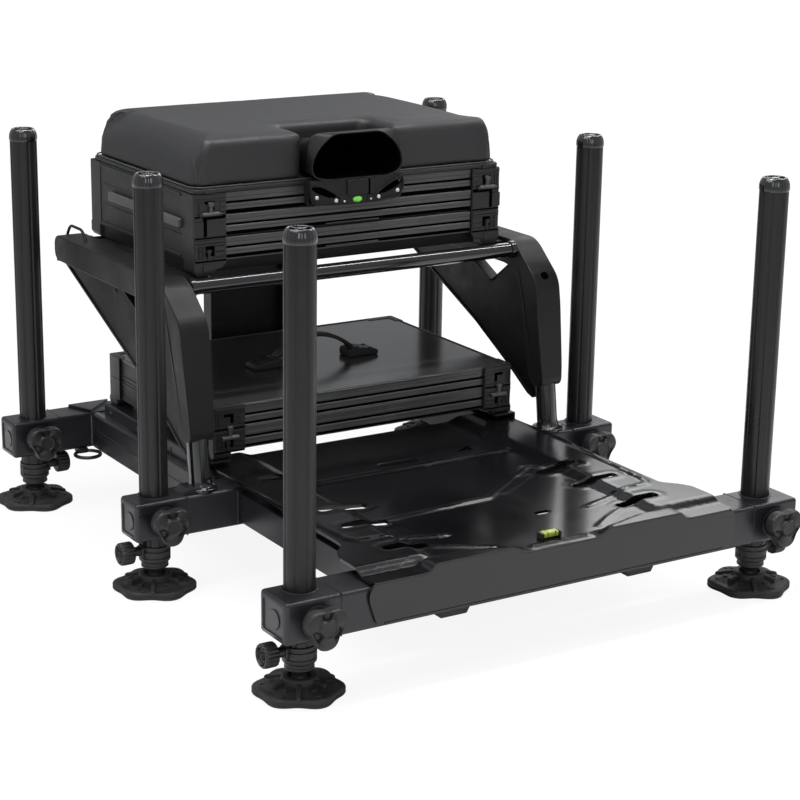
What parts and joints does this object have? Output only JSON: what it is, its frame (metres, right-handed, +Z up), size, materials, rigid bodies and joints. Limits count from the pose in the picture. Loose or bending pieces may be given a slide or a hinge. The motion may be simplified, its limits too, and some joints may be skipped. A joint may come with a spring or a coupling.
{
  "type": "fishing seat box",
  "caption": "Angler's seat box: padded seat with drawers on bent tube side frames, cassette box with carry handle, retracting footplate and telescopic legs with swivel mud feet.",
  "frame": {"origin": "on the ground, under the middle of the whole object", "axes": "-Y towards the footplate at the front, +Z up, +X to the right seen from the front"},
  "size_m": [0.756, 0.88, 0.55],
  "materials": {
    "anodised_black": "satin",
    "coated_frame": "satin",
    "moulded_black": "matte",
    "black_rubber": "matte",
    "gloss_plate": "gloss",
    "grooved_black": "satin",
    "cushion_cover": "satin",
    "satin_lid": "satin",
    "spirit_green": "gloss",
    "spirit_yellow": "gloss"
  },
  "bodies": {
    "platform": {"rear_rail": "coated_frame", "middle_rail": "coated_frame", "side_rail_left": "coated_frame", "side_rail_right": "coated_frame", "side_tube_left": "coated_frame", "side_tube_right": "coated_frame", "side_bracket_left": "moulded_black", "side_bracket_right": "moulded_black", "seat_front_tube": "coated_frame", "seat_rear_tube": "coated_frame", "rear_pillar": "moulded_black", "seat_case": "grooved_black"},
    "footplate": {"front_rail": "coated_frame", "footplate_runner_left": "coated_frame", "footplate_runner_right": "coated_frame", "footplate": "gloss_plate", "footplate_vial": "spirit_yellow"},
    "leg_front_left": {"leg_front_left": "anodised_black", "foot_socket_front_left": "moulded_black"},
    "foot_pad_front_left": {"foot_pad_front_left": "black_rubber"},
    "clamp_knob_front_left": {"clamp_knob_front_left": "moulded_black"},
    "foot_knob_front_left": {"foot_knob_front_left": "moulded_black"},
    "leg_front_right": {"leg_front_right": "anodised_black", "foot_socket_front_right": "moulded_black"},
    "foot_pad_front_right": {"foot_pad_front_right": "black_rubber"},
    "clamp_knob_front_right": {"clamp_knob_front_right": "moulded_black"},
    "foot_knob_front_right": {"foot_knob_front_right": "moulded_black"},
    "leg_middle_left": {"leg_middle_left": "anodised_black", "foot_socket_middle_left": "moulded_black"},
    "foot_pad_middle_left": {"foot_pad_middle_left": "black_rubber"},
    "clamp_knob_middle_left": {"clamp_knob_middle_left": "moulded_black"},
    "foot_knob_middle_left": {"foot_knob_middle_left": "moulded_black"},
    "leg_middle_right": {"leg_middle_right": "anodised_black", "foot_socket_middle_right": "moulded_black"},
    "foot_pad_middle_right": {"foot_pad_middle_right": "black_rubber"},
    "clamp_knob_middle_right": {"clamp_knob_middle_right": "moulded_black"},
    "foot_knob_middle_right": {"foot_knob_middle_right": "moulded_black"},
    "leg_rear_left": {"leg_rear_left": "anodised_black", "foot_socket_rear_left": "moulded_black"},
    "foot_pad_rear_left": {"foot_pad_rear_left": "black_rubber"},
    "clamp_knob_rear_left": {"clamp_knob_rear_left": "moulded_black"},
    "foot_knob_rear_left": {"foot_knob_rear_left": "moulded_black"},
    "leg_rear_right": {"leg_rear_right": "anodised_black", "foot_socket_rear_right": "moulded_black"},
    "foot_pad_rear_right": {"foot_pad_rear_right": "black_rubber"},
    "clamp_knob_rear_right": {"clamp_knob_rear_right": "moulded_black"},
    "foot_knob_rear_right": {"foot_knob_rear_right": "moulded_black"},
    "drawer_lower": {"drawer_lower": "grooved_black"},
    "drawer_upper": {"drawer_upper": "grooved_black"},
    "seat_lid": {"seat_lid": "moulded_black", "cushion": "cushion_cover", "pole_hood": "moulded_black", "hood_vial": "spirit_green"},
    "seat_catch_left": {"seat_catch_left": "moulded_black"},
    "seat_catch_right": {"seat_catch_right": "moulded_black"},
    "cassette": {"cassette_tray": "grooved_black"},
    "cassette_lid": {"cassette_lid": "satin_lid", "cassette_handle": "moulded_black"},
    "cassette_catch_left": {"cassette_catch_left": "moulded_black"},
    "cassette_catch_right": {"cassette_catch_right": "moulded_black"}
  },
  "joints": [
    {"name": "footplate_slide", "type": "slide", "parent": "platform", "child": "footplate", "axis": [0, 1, 0], "range_m": [0, 0.25]},
    {"name": "leg_slide_front_left", "type": "slide", "parent": "footplate", "child": "leg_front_left", "axis": [0, 0, 1], "range_m": [-0.33, 0]},
    {"name": "foot_tilt_front_left", "type": "hinge", "parent": "leg_front_left", "child": "foot_pad_front_left", "pos_m": [-0.329, -0.372, 0.015], "axis": [1, 0, 0], "range_deg": [-15, 15]},
    {"name": "clamp_turn_front_left", "type": "hinge", "parent": "footplate", "child": "clamp_knob_front_left", "pos_m": [-0.329, -0.41, 0.098], "axis": [0, 1, 0], "continuous": true},
    {"name": "foot_knob_turn_front_left", "type": "hinge", "parent": "leg_front_left", "child": "foot_knob_front_left", "pos_m": [-0.329, -0.372, 0.053], "axis": [1, 0, 0], "continuous": true},
    {"name": "leg_slide_front_right", "type": "slide", "parent": "footplate", "child": "leg_front_right", "axis": [0, 0, 1], "range_m": [-0.33, 0]},
    {"name": "foot_tilt_front_right", "type": "hinge", "parent": "leg_front_right", "child": "foot_pad_front_right", "pos_m": [0.329, -0.372, 0.015], "axis": [1, 0, 0], "range_deg": [-15, 15]},
    {"name": "clamp_turn_front_right", "type": "hinge", "parent": "footplate", "child": "clamp_knob_front_right", "pos_m": [0.329, -0.41, 0.098], "axis": [0, 1, 0], "continuous": true},
    {"name": "foot_knob_turn_front_right", "type": "hinge", "parent": "leg_front_right", "child": "foot_knob_front_right", "pos_m": [0.329, -0.372, 0.053], "axis": [1, 0, 0], "continuous": true},
    {"name": "leg_slide_middle_left", "type": "slide", "parent": "platform", "child": "leg_middle_left", "axis": [0, 0, 1], "range_m": [-0.33, 0]},
    {"name": "foot_tilt_middle_left", "type": "hinge", "parent": "leg_middle_left", "child": "foot_pad_middle_left", "pos_m": [-0.329, -0.002, 0.015], "axis": [1, 0, 0], "range_deg": [-15, 15]},
    {"name": "clamp_turn_middle_left", "type": "hinge", "parent": "platform", "child": "clamp_knob_middle_left", "pos_m": [-0.329, -0.032, 0.098], "axis": [0, 1, 0], "continuous": true},
    {"name": "foot_knob_turn_middle_left", "type": "hinge", "parent": "leg_middle_left", "child": "foot_knob_middle_left", "pos_m": [-0.329, -0.002, 0.053], "axis": [1, 0, 0], "continuous": true},
    {"name": "leg_slide_middle_right", "type": "slide", "parent": "platform", "child": "leg_middle_right", "axis": [0, 0, 1], "range_m": [-0.33, 0]},
    {"name": "foot_tilt_middle_right", "type": "hinge", "parent": "leg_middle_right", "child": "foot_pad_middle_right", "pos_m": [0.329, -0.002, 0.015], "axis": [1, 0, 0], "range_deg": [-15, 15]},
    {"name": "clamp_turn_middle_right", "type": "hinge", "parent": "platform", "child": "clamp_knob_middle_right", "pos_m": [0.329, -0.032, 0.098], "axis": [0, 1, 0], "continuous": true},
    {"name": "foot_knob_turn_middle_right", "type": "hinge", "parent": "leg_middle_right", "child": "foot_knob_middle_right", "pos_m": [0.329, -0.002, 0.053], "axis": [1, 0, 0], "continuous": true},
    {"name": "leg_slide_rear_left", "type": "slide", "parent": "platform", "child": "leg_rear_left", "axis": [0, 0, 1], "range_m": [-0.33, 0]},
    {"name": "foot_tilt_rear_left", "type": "hinge", "parent": "leg_rear_left", "child": "foot_pad_rear_left", "pos_m": [-0.329, 0.386, 0.015], "axis": [1, 0, 0], "range_deg": [-15, 15]},
    {"name": "clamp_turn_rear_left", "type": "hinge", "parent": "platform", "child": "clamp_knob_rear_left", "pos_m": [-0.329, 0.364, 0.098], "axis": [0, 1, 0], "continuous": true},
    {"name": "foot_knob_turn_rear_left", "type": "hinge", "parent": "leg_rear_left", "child": "foot_knob_rear_left", "pos_m": [-0.329, 0.386, 0.053], "axis": [1, 0, 0], "continuous": true},
    {"name": "leg_slide_rear_right", "type": "slide", "parent": "platform", "child": "leg_rear_right", "axis": [0, 0, 1], "range_m": [-0.33, 0]},
    {"name": "foot_tilt_rear_right", "type": "hinge", "parent": "leg_rear_right", "child": "foot_pad_rear_right", "pos_m": [0.329, 0.386, 0.015], "axis": [1, 0, 0], "range_deg": [-15, 15]},
    {"name": "clamp_turn_rear_right", "type": "hinge", "parent": "platform", "child": "clamp_knob_rear_right", "pos_m": [0.329, 0.364, 0.098], "axis": [0, 1, 0], "continuous": true},
    {"name": "foot_knob_turn_rear_right", "type": "hinge", "parent": "leg_rear_right", "child": "foot_knob_rear_right", "pos_m": [0.329, 0.386, 0.053], "axis": [1, 0, 0], "continuous": true},
    {"name": "drawer_slide_lower", "type": "slide", "parent": "platform", "child": "drawer_lower", "axis": [0, -1, 0], "range_m": [0, 0.22]},
    {"name": "drawer_slide_upper", "type": "slide", "parent": "platform", "child": "drawer_upper", "axis": [0, -1, 0], "range_m": [0, 0.22]},
    {"name": "seat_lid_hinge", "type": "hinge", "parent": "platform", "child": "seat_lid", "pos_m": [0, 0.384, 0.48], "axis": [-1, 0, 0], "range_deg": [0, 80]},
    {"name": "seat_catch_turn_left", "type": "hinge", "parent": "platform", "child": "seat_catch_left", "pos_m": [-0.21, 0.0672, 0.454], "axis": [1, 0, 0], "range_deg": [0, 90]},
    {"name": "seat_catch_turn_right", "type": "hinge", "parent": "platform", "child": "seat_catch_right", "pos_m": [0.21, 0.0672, 0.454], "axis": [1, 0, 0], "range_deg": [0, 90]},
    {"name": "cassette_slide", "type": "slide", "parent": "platform", "child": "cassette", "axis": [0, -1, 0], "range_m": [0, 0.25]},
    {"name": "cassette_lid_hinge", "type": "hinge", "parent": "cassette", "child": "cassette_lid", "pos_m": [0, 0.348, 0.183], "axis": [-1, 0, 0], "range_deg": [0, 25]},
    {"name": "cassette_catch_turn_left", "type": "hinge", "parent": "cassette", "child": "cassette_catch_left", "pos_m": [-0.208, 0.0232, 0.172], "axis": [1, 0, 0], "range_deg": [0, 90]},
    {"name": "cassette_catch_turn_right", "type": "hinge", "parent": "cassette", "child": "cassette_catch_right", "pos_m": [0.208, 0.0232, 0.172], "axis": [1, 0, 0], "range_deg": [0, 90]}
  ]
}
